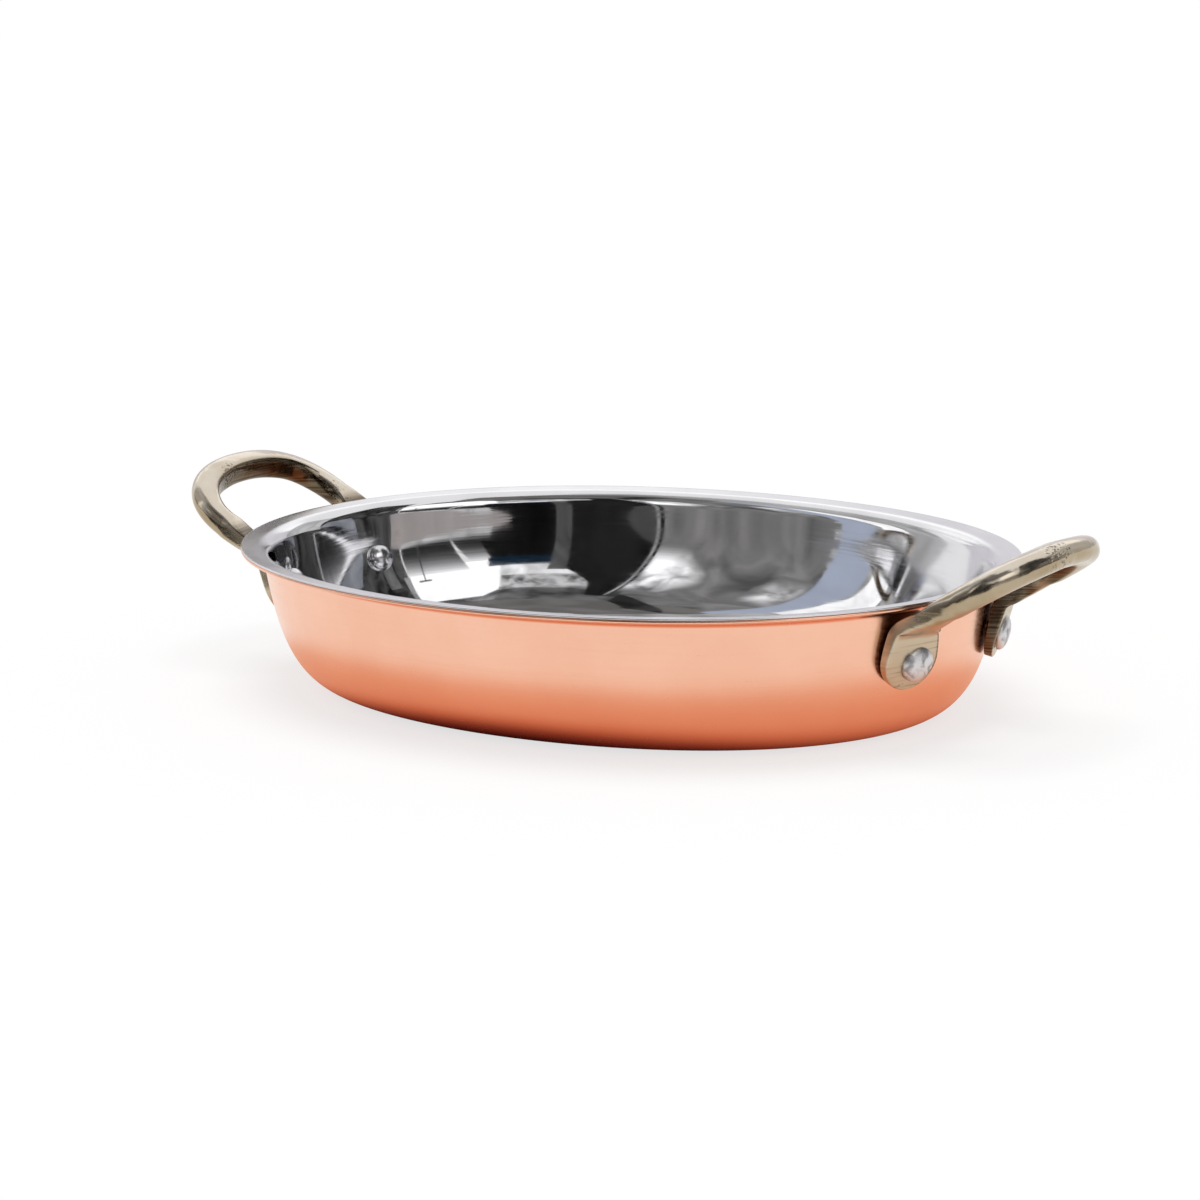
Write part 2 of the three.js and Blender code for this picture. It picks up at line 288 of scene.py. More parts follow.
def dented(rings):
    """The liner drawn outwards a little round each rivet, where hammering pulled it to the copper: a
    bell-shaped dent, by the distance from the rivet."""
    dent = np.zeros(rings.shape[:2])
    for corner in (1, -1):
        for side in (1, -1):
            spot = oval_point(rivet_angle, rivet_point[0], rivet_height) * [corner, side, 1]
            away = np.linalg.norm(rings - spot, axis=-1)
            dent = dent + dent_depth * np.exp(-(away / dent_radius) ** 2)
    outwards = rings * [1, 1, 0]
    length = np.linalg.norm(outwards, axis=-1, keepdims=True)
    return rings + dent[..., None] * outwards / np.maximum(length, 1e-6)


steel_bright = (0.76, 0.76, 0.775)
steel_dull = (0.70, 0.695, 0.71)
mirror_roughness = (0.03, 0.08)
lip_roughness = 0.14
lip_heights = (lip_underside - 0.0002, lip_underside + 0.0008)
dull_reach = (0.033, 0.048)
dull_roughness = 0.07
dish_reach = {"From Min": 0.028, "From Max": 0.064}
dish_heights = (0.008, lip_underside)
dish_relief = 0.0058
press_relief = 0.00035
wipe_relief = 0.000002
steel, tree, shader = bare_metal("mirror_steel")
haze = grain(tree, 70, detail=5)
wipes = grain(tree, 45, stretch=(1, 1, 40), detail=5)
hazy = tint(tree, spread(tree, haze, 0.3, 0.7), steel_dull, steel_bright)
tree.links.new(hazy, shader.inputs["Base Color"])
where = own_place(tree)
on_lip = spread(tree, where["Z"], *lip_heights)
polish = spread(tree, wipes, 0.35, 0.7, *mirror_roughness)
turned_lip = sums(tree, "MULTIPLY", on_lip, lip_roughness)
dull_end = spread(tree, where["X"], *dull_reach, 0, dull_roughness)
dull_end = sums(tree, "MULTIPLY", dull_end, spread(tree, on_lip, 0, 1, 1, 0))
duller = sums(tree, "ADD", turned_lip, dull_end)
tree.links.new(sums(tree, "ADD", polish, duller), shader.inputs["Roughness"])
to_end = {"Value": where["X"], **dish_reach}
near_end = add_node(tree, "MapRange", to_end, interpolation_type="SMOOTHERSTEP").outputs["Result"]
dished = sums(tree, "MULTIPLY", near_end, spread(tree, where["Z"], *dish_heights, 1, 0))
relief(tree, shader, (grain(tree, 38, detail=1), press_relief), (wipes, wipe_relief), (dished, dish_relief))
liner_rings = dented(bowl_rings(liner_depth, body_thickness, steel_edge))
place("steel_bowl", closed_mesh("steel_bowl", liner_rings), steel, "steel_liner")

# Handles
# Two castings of pale brass: a round rod bent to a loop, whose ends are flattened to ears. Each ear lies on
# the outside of the copper wall and is held there by one rivet. Each loop was bent a little in its own way.
rod_diameter = 0.0058
rod_squareness = 2.2
ear_width = 0.0134
ear_drop = 0.0056
ear_shift = 0.0012
ear_seat = 0.0003
ear_tip_thickness = 0.0018
ear_root_thickness = 0.0032
ear_tip_flat = 0.0002
ear_squareness = 8
knee_drop = 0.0056
knee_pull = 0.0022
lip_clearance = 0.0006
cut_start = 0.0125
cut_end = 0.0185
shoulder_start = 0.0130
shoulder_end = 0.0162
shoulder_arc = 0.0007
shoulder_share = 0.7
swell_length = 0.008
leg_pull = 0.018
bar_pull = 0.015
bar_swell = 0.0010
bar_lean = np.radians(16)
bar_squareness = 5
bent = {
    "right": [(0, 0, 0.0013), (0, 0, -0.0020), (0, 0, -0.0014)],
    "left": [(0.0002, 0, 0), (0.0009, 0, 0), (0.0009, 0, 0)],
}
filed_length = 0.012
foot_width = 0.0009
# Where painted shade lies: the shoulder's foot, the ear's edges against the copper and the loop's inner
# side.
foot_shade = {"share": 0.75, "range": (0.2, 0.5)}
ear_edge_shade = {"inset": 0.4, "range": (0, 0.5)}
loop_inner_shade = {"share": 0.9, "lower": 0.3, "range": (0.6, 0.85)}
# Painted shade: how far down the brass faces before it is painted a darker gold.
underside_shade_range = (-0.85, 0.1)
handle_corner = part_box("handle_right")[1]
loop_tip = np.array([handle_corner.x - rod_diameter / 2, 0, handle_corner.z - rod_diameter / 2])
upright = np.array([0, 0, 1])
ear_rings = 30
bar_rings = 110
bar_sides = 72
ring_crowding = 1.3
small_step = 2e-5
small_turn = 1e-3


def level_out(turn, out):
    """The level direction square to the oval, from two points close by on either side."""
    along = oval_point(turn + small_turn, out, 0) - oval_point(turn - small_turn, out, 0)
    return np.array([along[1], -along[0], 0]) / np.linalg.norm(along)


def rivet_frame(side):
    """Where a rivet of the right handle crosses the copper: its point, and as rows the directions along the
    wall, up it and square out of it. The side is -1 at the front and 1 at the back."""
    level = level_out(side * rivet_angle, rivet_point[0])
    out = rivet_way[1] * level - rivet_way[0] * upright
    up = rivet_way[0] * level + rivet_way[1] * upright
    point = oval_point(side * rivet_angle, rivet_point[0], rivet_height)
    return point, np.array([np.cross(up, out), up, out])


def smooth_share(value, start, end):
    """0 before start, 1 after end, and a smooth S in between."""
    share = np.clip((value - start) / (end - start), 0, 1)
    return share * share * (3 - 2 * share)


def unit(rows):
    """Each row over its own length."""
    return rows / np.linalg.norm(rows, axis=-1, keepdims=True)


ear_rise = (lip_underside - knee_drop - rivet_height) / rivet_way[1]
ear_length = ear_drop + ear_rise
place_of_rivet, rivet_axes = rivet_frame(-1)
ear_tip, ear_top, knee_corner = place_of_rivet + np.array([
    [-ear_shift, -ear_drop, ear_seat + ear_tip_thickness / 2],
    [-ear_shift, ear_rise, ear_seat + ear_root_thickness / 2],
    [-ear_shift, ear_rise + knee_pull, ear_seat + ear_root_thickness / 2],
]) @ rivet_axes
lip_level = level_out(-rivet_angle, half_width)
lip_along = np.cross(upright, lip_level)
under_lip = unit(lip_level - upright)
passing = oval_point(-rivet_angle, half_width, lip_underside) - ear_shift * lip_along
passing = passing + (ear_root_thickness / 2 + lip_clearance) * under_lip
leg_end = passing + leg_pull * unit(passing - knee_corner)


def half_path(bend):
    """The centre line from an ear's tip to the loop's tip at many points, with the distance run at each:
    straight up the ear, round the knee, and along leg and bar. The bend moves the leg's end, the bar's
    start and the loop's tip."""
    leg = np.array([passing, leg_end, loop_tip - [0, bar_pull, 0], loop_tip])
    leg[1:] += bend
    stretches = [[ear_tip, ear_top], [ear_top, knee_corner, passing], leg]
    points = np.concatenate([along_bezier(corners, shares)[0] for corners in stretches])
    run = np.concatenate([[0], np.cumsum(np.linalg.norm(np.diff(points, axis=0), axis=1))])
    return points, run


def ring_axes(distance, points, run, on_rod, on_bar):
    """Each ring's middle and two directions square to the centre line: one that goes from square out of the
    wall at the ear to straight down on the rod, and one that is square to it. On the bar both lean."""
    middle = np.stack([np.interp(distance, run, c) for c in points.T], axis=1)
    ahead = np.clip(distance + small_step, 0, run[-1])
    behind = np.clip(distance - small_step, 0, run[-1])
    way = unit(np.stack([np.interp(ahead, run, c) - np.interp(behind, run, c) for c in points.T], axis=1))
    facing = rivet_axes[2] * (1 - on_rod) - upright * on_rod
    facing = unit(facing - (facing * way).sum(axis=1, keepdims=True) * way)
    sideways = np.cross(facing, way)
    lean = bar_lean * on_bar
    leaning = facing * np.cos(lean) + sideways * np.sin(lean)
    return middle, leaning, sideways * np.cos(lean) - facing * np.sin(lean)


def blunted(wave, squareness):
    """A superellipse's cosine or sine: its size to the power of 2 over the squareness, with its sign."""
    return np.sign(wave) * np.abs(wave) ** (2 / squareness)


def handle_rings(bend):
    """The right handle as rings square to its centre line, with three shares for each point: how much it
    is on a filed ear, in painted shade, and on the underside, which is painted a darker gold as shade. A
    ring is a superellipse: a flat tongue with a round end at the ear and nearly a round at the rod, blended
    over the knee. The loop's inner side narrows first, and on the bar it is wider and flatter. On the ear's
    outer face the rod ends in a shoulder. The painted shade, as dark as oxide, lies on the ear's edges, the
    loop's inner side and the shoulder's foot, where it stands for shade and dark reflections. The back half
    mirrors the front half."""
    points, run = half_path(bend)
    knee_end = run[2 * len(shares) - 1]
    rod_start = knee_end + swell_length
    ear_radius = ear_width / 2
    tip_turns = np.linspace(0, np.pi / 2, ear_rings, endpoint=False)
    rest = ear_radius + (run[-1] - ear_radius) * np.linspace(0, 1, bar_rings) ** ring_crowding
    distance = np.concatenate([ear_radius * (1 - np.cos(tip_turns)), rest])
    along = distance[:, None]
    turn = np.linspace(0, 2 * np.pi, bar_sides, endpoint=False)
    outer, inner = np.sin(turn) > 0, np.cos(turn) < 0
    on_rod = smooth_share(along, ear_length, rod_start)
    on_bar = smooth_share(along, rod_start, run[-1] - bar_pull / 2)
    rounded = smooth_share(along, knee_end, rod_start)
    narrowed = smooth_share(along, ear_drop, rod_start)
    cut_in = smooth_share(along, cut_start, cut_end)
    narrowed = np.where(inner, np.maximum(cut_in, narrowed), narrowed)
    from_tip = np.minimum(along + ear_tip_flat, ear_radius)
    tongue = np.sqrt(ear_radius ** 2 - (ear_radius - from_tip) ** 2)
    half_across = tongue * (1 - narrowed) + rod_diameter / 2 * narrowed
    at_shoulder = along - shoulder_arc * np.sin(turn) ** 2
    stepped = smooth_share(at_shoulder, shoulder_start, shoulder_end)
    grown = np.where(outer, np.maximum(shoulder_share * stepped, rounded), rounded)
    ear_thickness = np.interp(along, [0, ear_length], [ear_tip_thickness, ear_root_thickness])
    half_through = (ear_thickness * (1 - grown) + rod_diameter * grown) / 2
    rod_corners = rod_squareness + (bar_squareness - rod_squareness) * on_bar * inner
    squareness = ear_squareness * (1 - grown) + rod_corners * grown
    swelled = bar_swell / 2 * on_bar
    across = blunted(np.cos(turn), squareness) * (half_across + swelled) - swelled
    through = blunted(np.sin(turn), squareness) * half_through
    middle, facing, sideways = ring_axes(distance, points, run, on_rod, on_bar)
    outwards = across[..., None] * sideways[:, None] + through[..., None] * facing[:, None]
    front = middle[:, None] + outwards
    # Painted shade on the ear's edges, the loop's inner side and the shoulder's foot.
    at_edge = np.maximum(-np.sin(turn), -np.cos(turn) - ear_edge_shade["inset"])
    on_ear = (1 - rounded) * smooth_share(at_edge, *ear_edge_shade["range"])
    inwards = -np.cos(turn) + loop_inner_shade["lower"] * outer
    on_loop = loop_inner_shade["share"] * rounded * smooth_share(inwards, *loop_inner_shade["range"])
    from_foot = np.abs(at_shoulder - shoulder_start - foot_width)
    on_foot = smooth_share(from_foot, foot_width, 0) * smooth_share(np.sin(turn), *foot_shade["range"])
    half_shares = {
        "ear": 1 - smooth_share(at_shoulder, shoulder_start, shoulder_end + filed_length),
        "painted_shade": np.maximum(np.maximum(on_ear, on_loop), foot_shade["share"] * on_foot),
        # The underside share holds painted shade for the brass facing down.
        "under": smooth_share(-unit(outwards)[..., 2], *underside_shade_range),
    }
    rings = np.concatenate([front, front[-2::-1] * [1, -1, 1]])
    return rings, {name: np.concatenate([half, half[-2::-1]]) for name, half in half_shares.items()}


def mark(mesh, name, values):
    """Keeps one number for each point of a closed surface, with the mean of a ring at the middle of its
    end."""
    ends = values[[0, -1]].mean(axis=1)
    layer = mesh.attributes.new(name, "FLOAT", "POINT")
    layer.data.foreach_set("value", np.concatenate([values.ravel(), ends]).astype(np.float32))


brass_bright = (0.71, 0.64, 0.55)
brass_deep = (0.62, 0.54, 0.43)
# Painted shade: a darker gold for the handles' down-facing sides.
brass_underside_shade = (0.37, 0.28, 0.165)
brass_milled = (0.57, 0.485, 0.36)
brass_pit = (0.30, 0.24, 0.15)
# Painted shade: a near-black brown for the shade and dark reflections by the ears, inside the loop and
# under the shoulder.
brass_shade = (0.07, 0.045, 0.025)
milled_roughness = (0.28, 0.42)
buffed_roughness = (0.13, 0.22)
pits_to_the_metre = 1200
pitted_patch = (0.1124, -0.0040, 0.0412)
patch_reach = (0.005, 0.003)
mark_share = 0.7
cast_relief = 0.0003
scratch_relief = 0.00005
mark_relief = 0.00004
pit_relief = 0.00012
brass, tree, shader = bare_metal("pale_brass")
ear_share = add_node(tree, "Attribute", attribute_name="ear").outputs["Fac"]
painted_shade_share = add_node(tree, "Attribute", attribute_name="painted_shade").outputs["Fac"]
underside_shade_share = add_node(tree, "Attribute", attribute_name="under").outputs["Fac"]
clouds = grain(tree, 140, detail=5)
filed = grain(tree, 55, stretch=(1, 1, 45), detail=5)
deep_marks = sums(tree, "MULTIPLY", spread(tree, filed, 0.60, 0.68), ear_share)
where = add_node(tree, "TexCoord").outputs["Object"]
cells = add_node(tree, "TexVoronoi", {"Scale": pits_to_the_metre, "Vector": where})
from_patch = add_node(tree, "VectorMath", {0: where, 1: pitted_patch}, operation="DISTANCE")
in_patch = spread(tree, from_patch.outputs["Value"], *patch_reach)
pit_zones = sums(tree, "MAXIMUM", spread(tree, grain(tree, 85, detail=2), 0.62, 0.7), in_patch)
pits = sums(tree, "MULTIPLY", spread(tree, cells.outputs["Distance"], 0.45, 0.15), pit_zones)
flaws = sums(tree, "MAXIMUM", pits, sums(tree, "MULTIPLY", deep_marks, mark_share))
satin = tint(tree, spread(tree, clouds, 0.32, 0.66), brass_deep, brass_bright)
# Painted shade: brass facing down is painted a darker gold, as shade under the handle.
underside_shade = sums(tree, "MULTIPLY", underside_shade_share, spread(tree, clouds, 0.3, 0.6, 1, 0.75))
satin = tint(tree, underside_shade, satin, brass_underside_shade)
satin = tint(tree, spread(tree, ear_share, 0.2, 1), satin, brass_milled)
flawed = tint(tree, flaws, satin, brass_pit)
streaks = spread(tree, filed, 0.38, 0.6, 0.75, 1)
# Painted shade, broken into streaks by the filing marks.
shade_share = sums(tree, "MULTIPLY", spread(tree, painted_shade_share, 0.25, 0.9), streaks)
tree.links.new(tint(tree, shade_share, flawed, brass_shade), shader.inputs["Base Color"])
milled = spread(tree, filed, 0.3, 0.7, *milled_roughness)
buffed = spread(tree, clouds, 0.3, 0.7, *buffed_roughness)
roughness = add_node(tree, "Mix", {0: ear_share, 2: buffed, 3: milled}, data_type="FLOAT").outputs[0]
tree.links.new(roughness, shader.inputs["Roughness"])
cast_waves = grain(tree, 140, detail=2, distortion=0.4)
scratches = sums(tree, "MULTIPLY", filed, ear_share)
marks_height = spread(tree, flaws, 0, 1, 1, 0)
pits_height = spread(tree, pits, 0, 1, 1, 0)
relief(tree, shader, (cast_waves, cast_relief), (scratches, scratch_relief), (marks_height, mark_relief),
       (pits_height, pit_relief))
half_turn = np.array([-1, -1, 1])
for side, turned in (("right", 1), ("left", half_turn)):
    rings, point_shares = handle_rings(bent[side])
    mesh = closed_mesh("brass_handle_" + side, rings * turned)
    for name, values in point_shares.items():
        mark(mesh, name, values)
    place("brass_handle_" + side, mesh, brass, "handle_" + side)

# Rivets
# Four solid rivets of grey metal, one through each ear. The head inside the pan is a smooth dome, and the
# end outside was hammered over the ear to a lumpy one.
shank_diameter = 0.004
outer_head_diameter = 0.0076
outer_head_height = 0.0019
outer_head_bluntness = 0.75
inner_head_diameter = 0.0064
inner_head_height = 0.0022
edge_wave = 0.012
edge_ripple = 0.010
lump_waves = [(1900, 900, 2), (-1100, 1700, 5)]
lump_share = 0.012
beaten_share = 0.03
hammering_step = 1.7
rivet_sides = 64
dome_steps = 14


def rivet_rings(hammering):
    """A rivet about its own axis, from the top of the smooth head to the top of the hammered one, and how
    much each point is hammered: a half ellipse, the shank, and a blunt dome with lumps and an uneven edge.
    The lumps are waves over the head, which start elsewhere on each rivet."""
    ear_at_rivet = np.interp(ear_drop, [0, ear_length], [ear_tip_thickness, ear_root_thickness])
    ear_face = ear_seat + ear_at_rivet
    turn = np.linspace(0, np.pi / 2, dome_steps + 1)[1:]
    outer_out = outer_head_diameter / 2 * np.sin(turn)
    outer = np.stack([outer_out, outer_head_height * np.cos(turn) ** outer_head_bluntness], axis=1)
    inner_out = inner_head_diameter / 2 * np.sin(turn)
    inner = np.stack([inner_out, -body_thickness - inner_head_height * np.cos(turn)], axis=1)
    shank = np.array([[shank_diameter / 2, -body_thickness], [shank_diameter / 2, 0]])
    line = np.concatenate([inner, shank, outer[::-1]])
    hammered = np.concatenate([np.zeros(dome_steps + 2), np.ones(dome_steps)])[:, None]
    around = np.linspace(0, 2 * np.pi, rivet_sides, endpoint=False)
    out, height = line[:, :1], line[:, 1:]
    wave = edge_wave * np.sin(2 * around + hammering) + edge_ripple * np.sin(5 * around + 3 * hammering)
    uneven = 1 + hammered * wave
    x, y = out * np.cos(around) * uneven, out * np.sin(around) * uneven
    lumps = sum(np.sin(along * x + across * y + start * hammering) for along, across, start in lump_waves)
    beaten = height * (1 + hammered * (lump_share * lumps - beaten_share)) + hammered * ear_face
    lifted = np.where(np.arange(len(line))[:, None] == dome_steps + 1, ear_face, beaten)
    return np.stack([x, y, lifted], axis=-1), np.broadcast_to(hammered, x.shape)


rivet_light = (0.70, 0.69, 0.71)
rivet_dark = (0.36, 0.355, 0.37)
smooth_roughness = (0.16, 0.24)
struck_roughness = (0.6, 0.36)
grit_relief = 0.00004
rivet_metal, tree, shader = bare_metal("rivet_grey")
struck = add_node(tree, "Attribute", attribute_name="hammered").outputs["Fac"]
blotches = grain(tree, 420, detail=6, distortion=0.8)
stains = sums(tree, "MULTIPLY", spread(tree, blotches, 0.55, 0.38), struck)
tree.links.new(tint(tree, stains, rivet_light, rivet_dark), shader.inputs["Base Color"])
smooth = spread(tree, blotches, 0.3, 0.7, *smooth_roughness)
rough = spread(tree, blotches, 0.3, 0.7, *struck_roughness)
roughness = add_node(tree, "Mix", {0: struck, 2: smooth, 3: rough}, data_type="FLOAT").outputs[0]
tree.links.new(roughness, shader.inputs["Roughness"])
grit = sums(tree, "MULTIPLY", grain(tree, 500, detail=4), struck)
relief(tree, shader, (grit, grit_relief))
rivets = {
    "right_front": (-1, 1),
    "right_back": (1, 1),
    "left_back": (-1, half_turn),
    "left_front": (1, half_turn),
}
for number, (name, (side, turned)) in enumerate(rivets.items()):
    point, axes = rivet_frame(side)
    rings, hammered = rivet_rings(hammering_step * number)
    mesh = closed_mesh("rivet_" + name, (point + rings @ axes) * turned)
    mark(mesh, "hammered", hammered)
    place("rivet_" + name, mesh, rivet_metal, "rivet_" + name)

# Studio
# A white floor inside a light tent of white cloth. Cards stand for the tent's grey sides, its lamp
# strip and its dark front opening, which only the polished metal shows. Seen in the metal, the floor round
# the pan shows painted light: painted shade right under the pan and a painted copper-coloured glow of light
# bounced from the copper around it.
camera_azimuth = np.radians(36.415)
camera_elevation = np.radians(11.959)
camera_roll = np.radians(-1.935)
camera_distance = 0.9
camera_lens = 122.445
aim = np.array([-0.006622, 0, 0.019903])
tent_radius = 3.0
layer_share = 0.02
card_steps = 25
fade_power = 3
floor_radius = 8.0
floor_gap = 0.00005
fill = 0.5
full_light = 1.06
lamp_spread = np.radians(40)


def tent_cloth(name, shaded, lit, folds, ends):
    """Cloth that glows as much as the tent's light makes it: between two colours, in folds of cloudy noise
    that fade towards a soft edge, or where it has no folds by a power of the share of the way up it."""
    material = bpy.data.materials.new(name)
    material.use_nodes = True
    material.cycles.emission_sampling = "NONE"
    tree = material.node_tree
    tree.nodes.clear()
    if folds:
        cloud = grain(tree, folds, stretch=(1, 1, 0.6), detail=4, distortion=0.6)
        within = add_node(tree, "Attribute", attribute_name="within").outputs["Fac"]
        share = sums(tree, "MULTIPLY", spread(tree, cloud, 0.36, 0.64), within)
    else:
        share = sums(tree, "POWER", spread(tree, own_place(tree)["Z"], *ends), fade_power)
    glow = add_node(tree, "Emission", {"Color": tint(tree, share, shaded, lit)})
    add_node(tree, "OutputMaterial", {"Surface": glow.outputs[0]})
    return material


def stage_card(name, points, material, soft_edge=0):
    """A sheet from a grid of points, which only shows in polished metal. Each point keeps how far it is
    within the sheet: 0 on the edge, and 1 from a share of the way in."""
    rows, count = points.shape[:2]
    down, along = np.linspace(0, 1, rows)[:, None], np.linspace(0, 1, count)
    from_edge = np.minimum(np.minimum(down, 1 - down), np.minimum(along, 1 - along))
    within = smooth_share(from_edge, 0, soft_edge) if soft_edge else np.ones((rows, count))
    row = np.arange(rows - 1)[:, None] * count
    here = np.arange(count - 1)
    quads = np.stack([row + here, row + here + 1, row + count + here + 1, row + count + here], axis=-1)
    mesh = bpy.data.meshes.new(name)
    mesh.from_pydata(points.reshape(-1, 3).tolist(), [], quads.reshape(-1, 4).tolist())
    mesh.materials.append(material)
    layer = mesh.attributes.new("within", "FLOAT", "POINT")
    layer.data.foreach_set("value", within.ravel().astype(np.float32))
    card = bpy.data.objects.new(name, mesh)
    bpy.context.scene.collection.objects.link(card)
    card.visible_camera = False
    card.visible_diffuse = False
    card.visible_shadow = False


def tent_card(name, layer, heights, lefts, rights, shaded, lit, folds=1.3, soft_edge=0):
    """Part of a sphere round the pan. Its left and right edge are bearings to the camera's right at some
    heights, straight in between, all in degrees. A higher layer hangs closer to the pan."""
    step = np.linspace(heights[0], heights[-1], card_steps)[:, None]
    left, right = (np.interp(step, heights, edge) for edge in (lefts, rights))
    bearing = np.radians(left + (right - left) * np.linspace(0, 1, card_steps)) + camera_azimuth
    height = np.radians(step)
    out = np.cos(height)
    grid = np.broadcast_arrays(np.sin(bearing) * out, -np.cos(bearing) * out, np.sin(height))
    radius = tent_radius * (1 - layer_share * layer)
    ends = radius * np.sin(np.radians([heights[0], heights[-1]]))
    cloth = tent_cloth(name, shaded, lit, folds, ends)
    stage_card(name, radius * np.stack(grid, axis=-1), cloth, soft_edge)


def grey(level):
    """A colour with the same level in red, green and blue."""
    return (level, level, level)


tent_card("side_cloth", 0, (-1, 62), (-128, -128), (-84, -84), grey(0.35), grey(0.6), 2.5)
tent_card("side_sheet", 1, (4, 12, 24, 42), (-110, -107, -99, -92), (-97, -94, -90, -86),
          grey(1.1), grey(1.4), 4)
tent_card("roof_side", 0, (62, 78), (-128, -128), (-84, -84), grey(0.25), grey(0.5))
tent_card("left_wall", 0, (-1, 52), (-86, -86), (-40, -40), (0.10, 0.098, 0.097), (0.30, 0.293, 0.29), 2)
tent_card("side_lamp", 2, (-1, 15, 30, 55), (-96, -92, -88, -85), (-86, -83.5, -81, -79),
          (0.42, 0.47, 0.58), (0.46, 0.52, 0.64))
tent_card("wall_streak", 1, (15, 24, 33, 41), (-83, -83, -82, -81), (-74, -69, -69, -73),
          grey(0.2), grey(1.1), 3, 0.4)
tent_card("wall_sheen", 1, (10, 20, 27, 40), (-53, -58, -58, -52), (-44, -41, -39, -37),
          grey(0.2), grey(2.2), 3, 0.4)
tent_card("opening_left", 2, (-1, 8, 23, 32, 47), (-47.5, -46.5, -43, -41.5, -39),
          (-18, -18, -18, -28, -30), grey(0.004), grey(0.02))
tent_card("opening_sill", 3, (-1, 6, 10.5), (-46, -45.5, -45), (-26, -31, -42), grey(0.05), grey(0.09))
tent_card("opening_line", 4, (7, 23, 32, 46), (-45.7, -42.1, -40.6, -38.7), (-44.9, -41.3, -39.8, -37.9),
          grey(0.3), grey(0.6), 4)
tent_card("opening_right", 2, (-1, 11, 17), (-18, -18, -18), (14, 13, 9), grey(0.004), grey(0.012))
tent_card("opening_top", 2, (17, 21.4), (-18, -18), (10, 10), (0.006, 0.016, 0.03), (0.01, 0.028, 0.055))
tent_card("opening_post", 3, (-1, 8, 25), (-22.5, -21.5, -19.5), (-17.5, -16.5, -14),
          grey(0.05), grey(0.13), 3)
tent_card("flap_hem", 1, (21.4, 28), (-21, -27), (6, 5), grey(0.7), grey(1.3), 2)
tent_card("flap", 1, (28, 40), (-29, -31), (5, 5), grey(0.13), grey(0.75), 4)
tent_card("flap_top", 1, (40, 54), (-42, -44), (5, 9), grey(0.06), grey(0.2), 2)
tent_card("front_lamp", 1, (18, 40, 46), (5, 6, 14), (50, 52, 44), grey(1.35), grey(1.7))
tent_card("lamp_hood", 0, (38, 56), (0, 0), (54, 40), grey(0.1), grey(0.4))
tent_card("right_corner", 1, (22, 44), (50, 51.5), (54, 55), grey(0.25), grey(0.45))
tent_card("lamp_foot", 2, (10, 17), (8, 8), (26, 18), grey(0.02), grey(0.9), 0)
tent_card("lamp_fade", 2, (10, 22), (26, 18), (50, 50.5), grey(0.02), grey(1.3), 0)
tent_card("table_edge", 3, (-1, 8.6, 10.2), (-6, -1, 12), (56, 56, 50),
          (0.34, 0.31, 0.30), (0.43, 0.40, 0.385))
tent_card("table_rim", 4, (9.3, 10.3), (7, 9), (50, 50), grey(0.5), grey(0.8), 4)
tent_card("stand_pole", 4, (10, 25), (41.2, 41.2), (42, 42), grey(0.04), grey(0.08))
tent_card("stand_bar", 4, (24.6, 25.8), (38, 38), (46, 46), grey(0.06), grey(0.1))
tent_card("right_wall", 0, (-1, 38, 60), (50, 52, 58), (104, 104, 100), grey(0.012), grey(0.10), 3)
tent_card("right_sheet", 1, (16, 27), (58, 58), (66, 65), grey(0.12), grey(0.24), 3)
tent_card("right_pane", 1, (4, 18), (79, 83), (104, 99), (0.22, 0.23, 0.26), (0.34, 0.35, 0.39), 3)
tent_card("right_back", 0, (-1, 36), (104, 104), (140, 140), grey(0.45), grey(0.7))
tent_card("roof_cloth", 0, (52, 78), (-84, -84), (32, 32), (0.15, 0.145, 0.14), (0.22, 0.21, 0.20))
tent_card("roof_gap", 1, (44, 52, 62), (-44, -58, -80), (-38, -42, -60), grey(0.02), grey(0.07))
tent_card("back_cloth", 0, (-1, 21), (140, 140), (220, 220), (0.72, 0.70, 0.74), (0.80, 0.78, 0.82))
tent_card("back_lamp", 0, (22, 36), (140, 140), (220, 220), grey(1.2), grey(1.4))
tent_card("left_back", 0, (-1, 30), (-168, -168), (-143, -143), grey(0.03), grey(0.25), 2)

front_bearings = np.linspace(-97, 12, 45)
front_radii = np.array([0.23, 1.0, tent_radius])[:, None]
front_height = 0.0005
front_turn = np.radians(front_bearings) + camera_azimuth
front_x, front_y = np.sin(front_turn) * front_radii, -np.cos(front_turn) * front_radii
grid = np.broadcast_arrays(front_x, front_y, front_height)
front_cloth = tent_cloth("dark_front", grey(0.01), grey(0.03), 1.3, None)
stage_card("dark_front", np.stack(grid, axis=-1), front_cloth)

floor_corners = np.array([[-1, -1, 0], [1, -1, 0], [1, 1, 0], [-1, 1, 0]])
floor_points = floor_radius * floor_corners - [0, 0, floor_gap]
floor_mesh = bpy.data.meshes.new("floor")
floor_mesh.from_pydata(floor_points.tolist(), [], [[0, 1, 2, 3]])
white = bpy.data.materials.new("white_floor")
white.use_nodes = True
white.cycles.emission_sampling = "NONE"
tree = white.node_tree
tree.nodes.clear()
floor_paper = (0.95, 0.95, 0.95, 1)
plain_share = 0.72
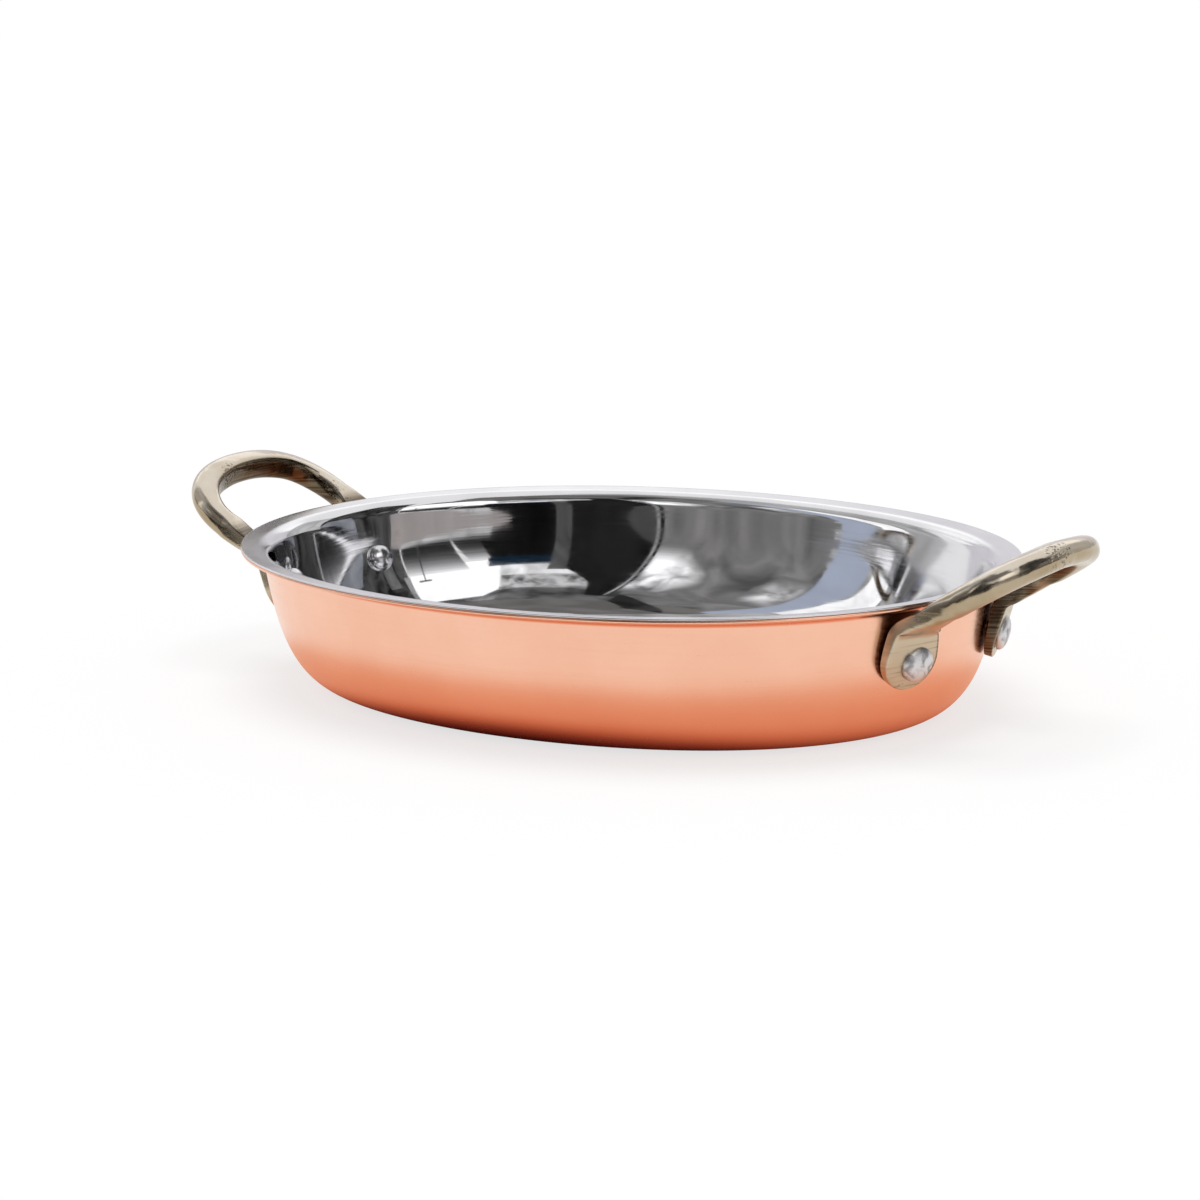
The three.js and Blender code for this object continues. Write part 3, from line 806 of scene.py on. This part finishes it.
# Painted light on the floor, seen only in the metal: from black painted shade under the pan through painted
# copper-coloured bounce light to white, by the distance out across the oval.
painted_light_middle = (0.0016, -0.0019, 0)
painted_light_start = 0.6
painted_light_width = 0.8
painted_floor_light = {
    0.70: (0.00, 0.00, 0.00),
    0.76: (0.20, 0.03, 0.02),
    0.81: (0.62, 0.22, 0.12),
    0.86: (0.78, 0.39, 0.26),
    0.95: (0.84, 0.48, 0.33),
    1.03: (0.87, 0.57, 0.44),
    1.08: (0.91, 0.70, 0.58),
    1.14: (0.97, 0.87, 0.82),
    1.22: (1.00, 1.00, 0.98),
}
ray = add_node(tree, "LightPath")
where = add_node(tree, "TexCoord").outputs["Object"]
from_middle = add_node(tree, "VectorMath", {0: where, 1: painted_light_middle}, operation="SUBTRACT").outputs[0]
to_oval = {"Vector": from_middle, "Scale": (1 / half_length, 1 / half_width, 0)}
on_oval = add_node(tree, "Mapping", to_oval).outputs[0]
distance = add_node(tree, "VectorMath", {0: on_oval}, operation="LENGTH").outputs["Value"]
ramp = add_node(tree, "ValToRGB", {0: spread(tree, distance, painted_light_start, painted_light_start + painted_light_width)})
ramp.color_ramp.interpolation = "B_SPLINE"
stops = ramp.color_ramp.elements
while len(stops) < len(painted_floor_light):
    stops.new(0.5)
for stop, (radius, colour) in zip(stops, painted_floor_light.items()):
    stop.position = (radius - painted_light_start) / painted_light_width
    stop.color = (*colour, 1)
glow = add_node(tree, "Emission", {"Color": ramp.outputs["Color"]})
plain = add_node(tree, "Emission", {"Color": (1, 1, 1, 1)})
matt = add_node(tree, "BsdfDiffuse", {"Color": floor_paper})
faded = sums(tree, "MULTIPLY", ray.outputs["Is Camera Ray"], plain_share)
seen = add_node(tree, "MixShader", {0: faded, 1: matt.outputs[0], 2: plain.outputs[0]})
in_metal = ray.outputs["Is Glossy Ray"]
mirrored = add_node(tree, "MixShader", {0: in_metal, 1: seen.outputs[0], 2: glow.outputs[0]})
add_node(tree, "OutputMaterial", {"Surface": mirrored.outputs[0]})
floor_mesh.materials.append(white)
floor = bpy.data.objects.new("floor", floor_mesh)
bpy.context.scene.collection.objects.link(floor)

world = bpy.data.worlds.new("white_tent")
bpy.context.scene.world = world
world.use_nodes = True
tree = world.node_tree
ray = add_node(tree, "LightPath")
seen = sums(tree, "MAXIMUM", ray.outputs["Is Camera Ray"], ray.outputs["Is Glossy Ray"])
seen = sums(tree, "MAXIMUM", seen, ray.outputs["Is Transmission Ray"])
tree.nodes["Background"].inputs["Color"].default_value = (1, 1, 1, 1)
tree.links.new(spread(tree, seen, 0, 1, fill, 1), tree.nodes["Background"].inputs["Strength"])

lamp_data = bpy.data.lights.new("roof_lamp", "SUN")
lamp_data.angle = lamp_spread
lamp_data.energy = (full_light - fill) * np.pi
lamp = bpy.data.objects.new("roof_lamp", lamp_data)
lamp.visible_glossy = False
bpy.context.scene.collection.objects.link(lamp)

back = np.array([
    np.sin(camera_azimuth) * np.cos(camera_elevation),
    -np.cos(camera_azimuth) * np.cos(camera_elevation),
    np.sin(camera_elevation),
])
right = np.array([np.cos(camera_azimuth), np.sin(camera_azimuth), 0])
up = np.cross(back, right)
rolled_right = np.cos(camera_roll) * right + np.sin(camera_roll) * up
rolled_up = np.cos(camera_roll) * up - np.sin(camera_roll) * right
camera_data = bpy.data.cameras.new("camera")
camera_data.lens = camera_lens
camera_data.clip_end = 4 * floor_radius
camera = bpy.data.objects.new("camera", camera_data)
eye = aim + camera_distance * back
axes_and_eye = np.stack([rolled_right, rolled_up, back, eye], axis=1)
camera.matrix_world = Matrix(np.vstack([axes_and_eye, [0, 0, 0, 1]]))
bpy.context.scene.collection.objects.link(camera)
bpy.context.scene.camera = camera
bpy.context.scene.view_settings.view_transform = "Standard"
